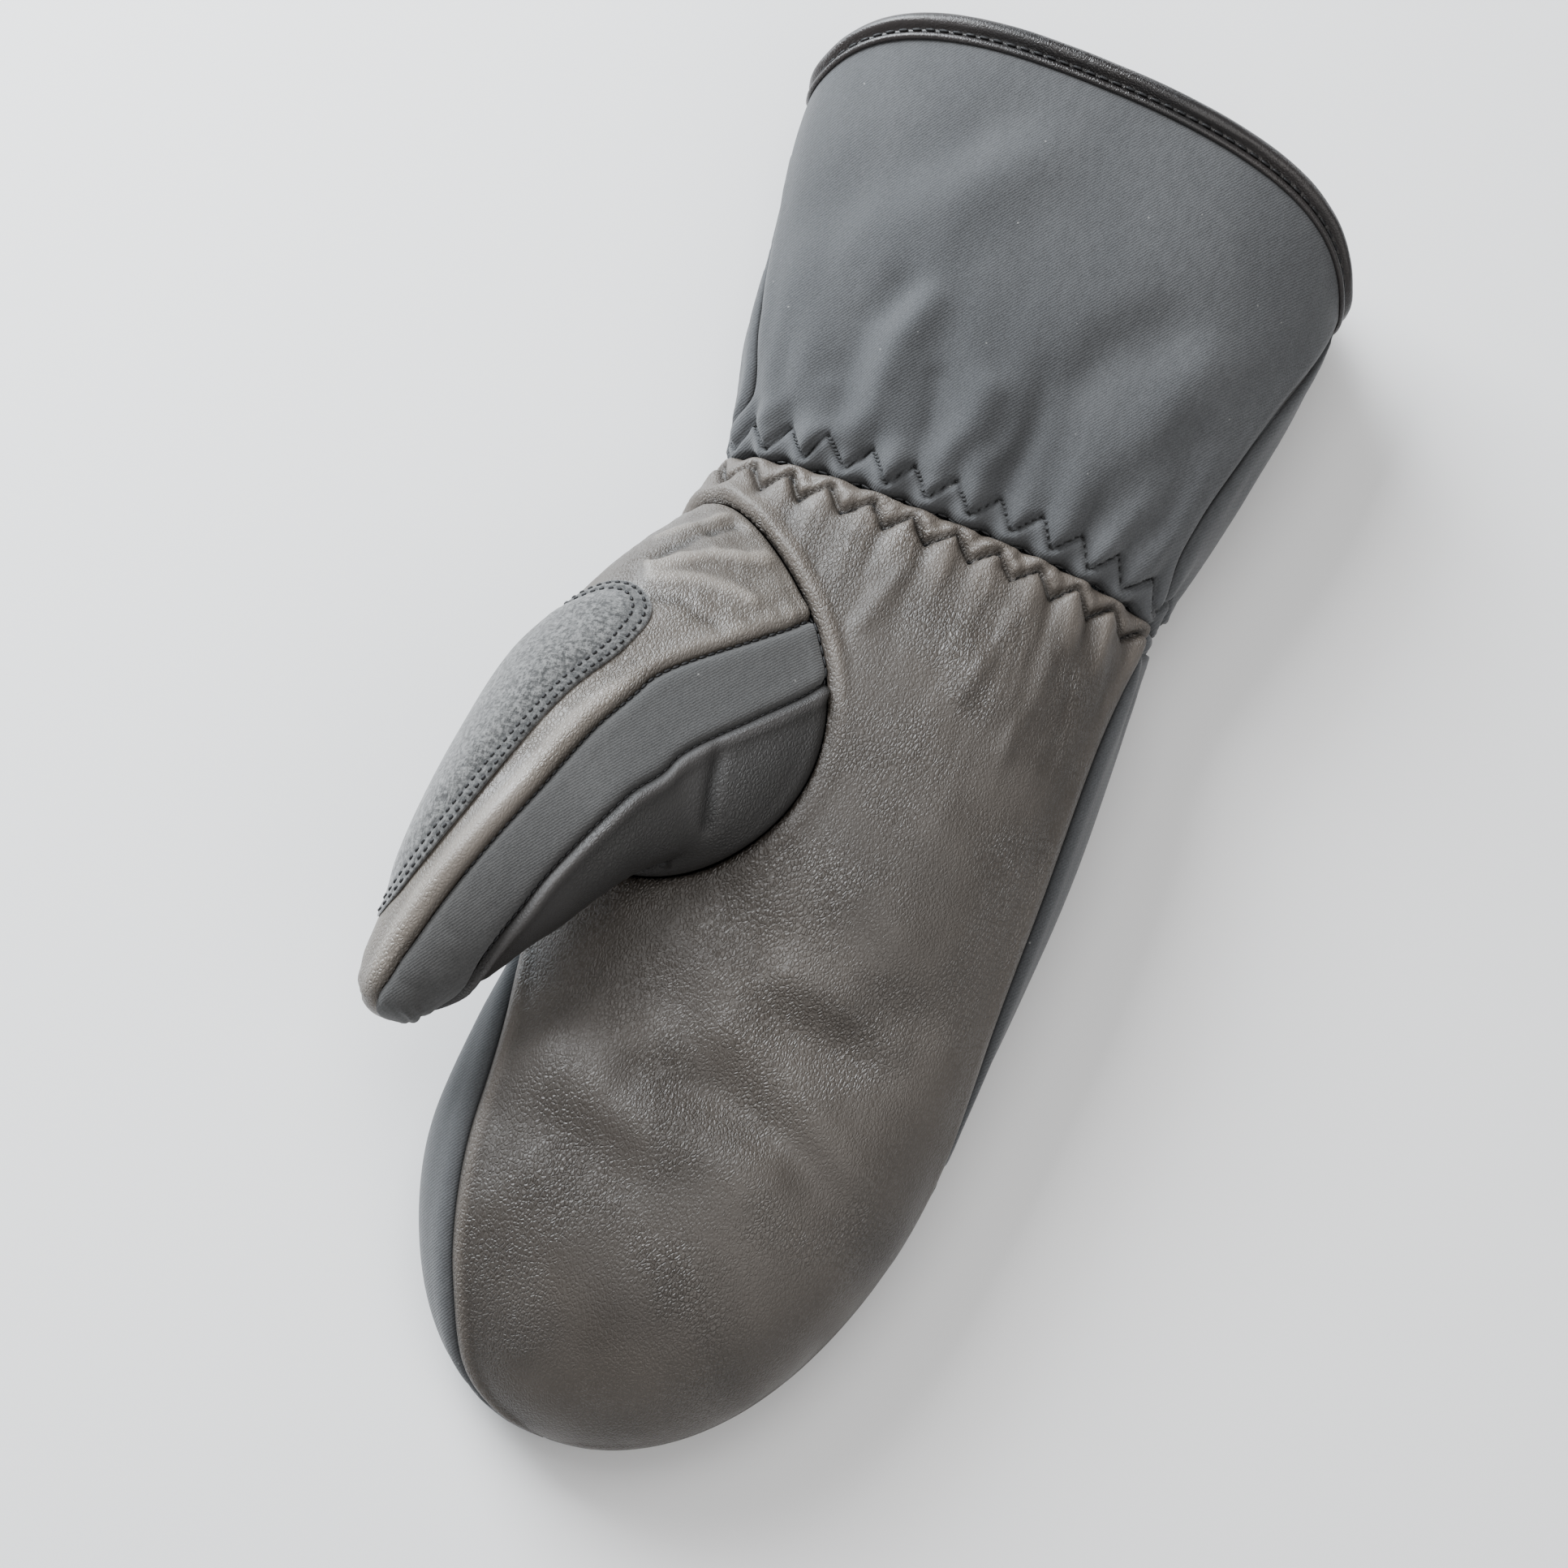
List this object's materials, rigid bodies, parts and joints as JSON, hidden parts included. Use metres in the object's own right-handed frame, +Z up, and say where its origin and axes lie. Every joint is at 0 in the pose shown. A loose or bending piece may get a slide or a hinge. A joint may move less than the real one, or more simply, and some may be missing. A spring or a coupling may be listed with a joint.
{
  "type": "leather mitten",
  "caption": "Right-hand winter mitten lying palm up: leather palm and thumb, soft fabric back and flared gauntlet cuff, felt wipe patch and rolled leather rim.",
  "frame": {"origin": "on the floor, under the middle of the mitten's box as it lies on its back", "axes": "+Y from the fingertips to the cuff, +Z up out of the palm, +X toward the little-finger side"},
  "size_m": [0.1554, 0.321, 0.0643],
  "materials": {
    "palm_leather": "matte, fine pebble grain",
    "softshell": "matte brushed softshell",
    "felt": "napped felt",
    "binding_leather": "smooth satin"
  },
  "bodies": {
    "root": {"palm_panel": "palm_leather", "back_panel": "softshell", "thumb_outer_panel": "palm_leather", "thumb_strip": "softshell", "thumb_inner_panel": "palm_leather", "wipe_patch": "felt", "cuff_palm_panel": "softshell", "cuff_back_panel": "softshell", "cuff_binding": "binding_leather"}
  },
  "joints": []
}
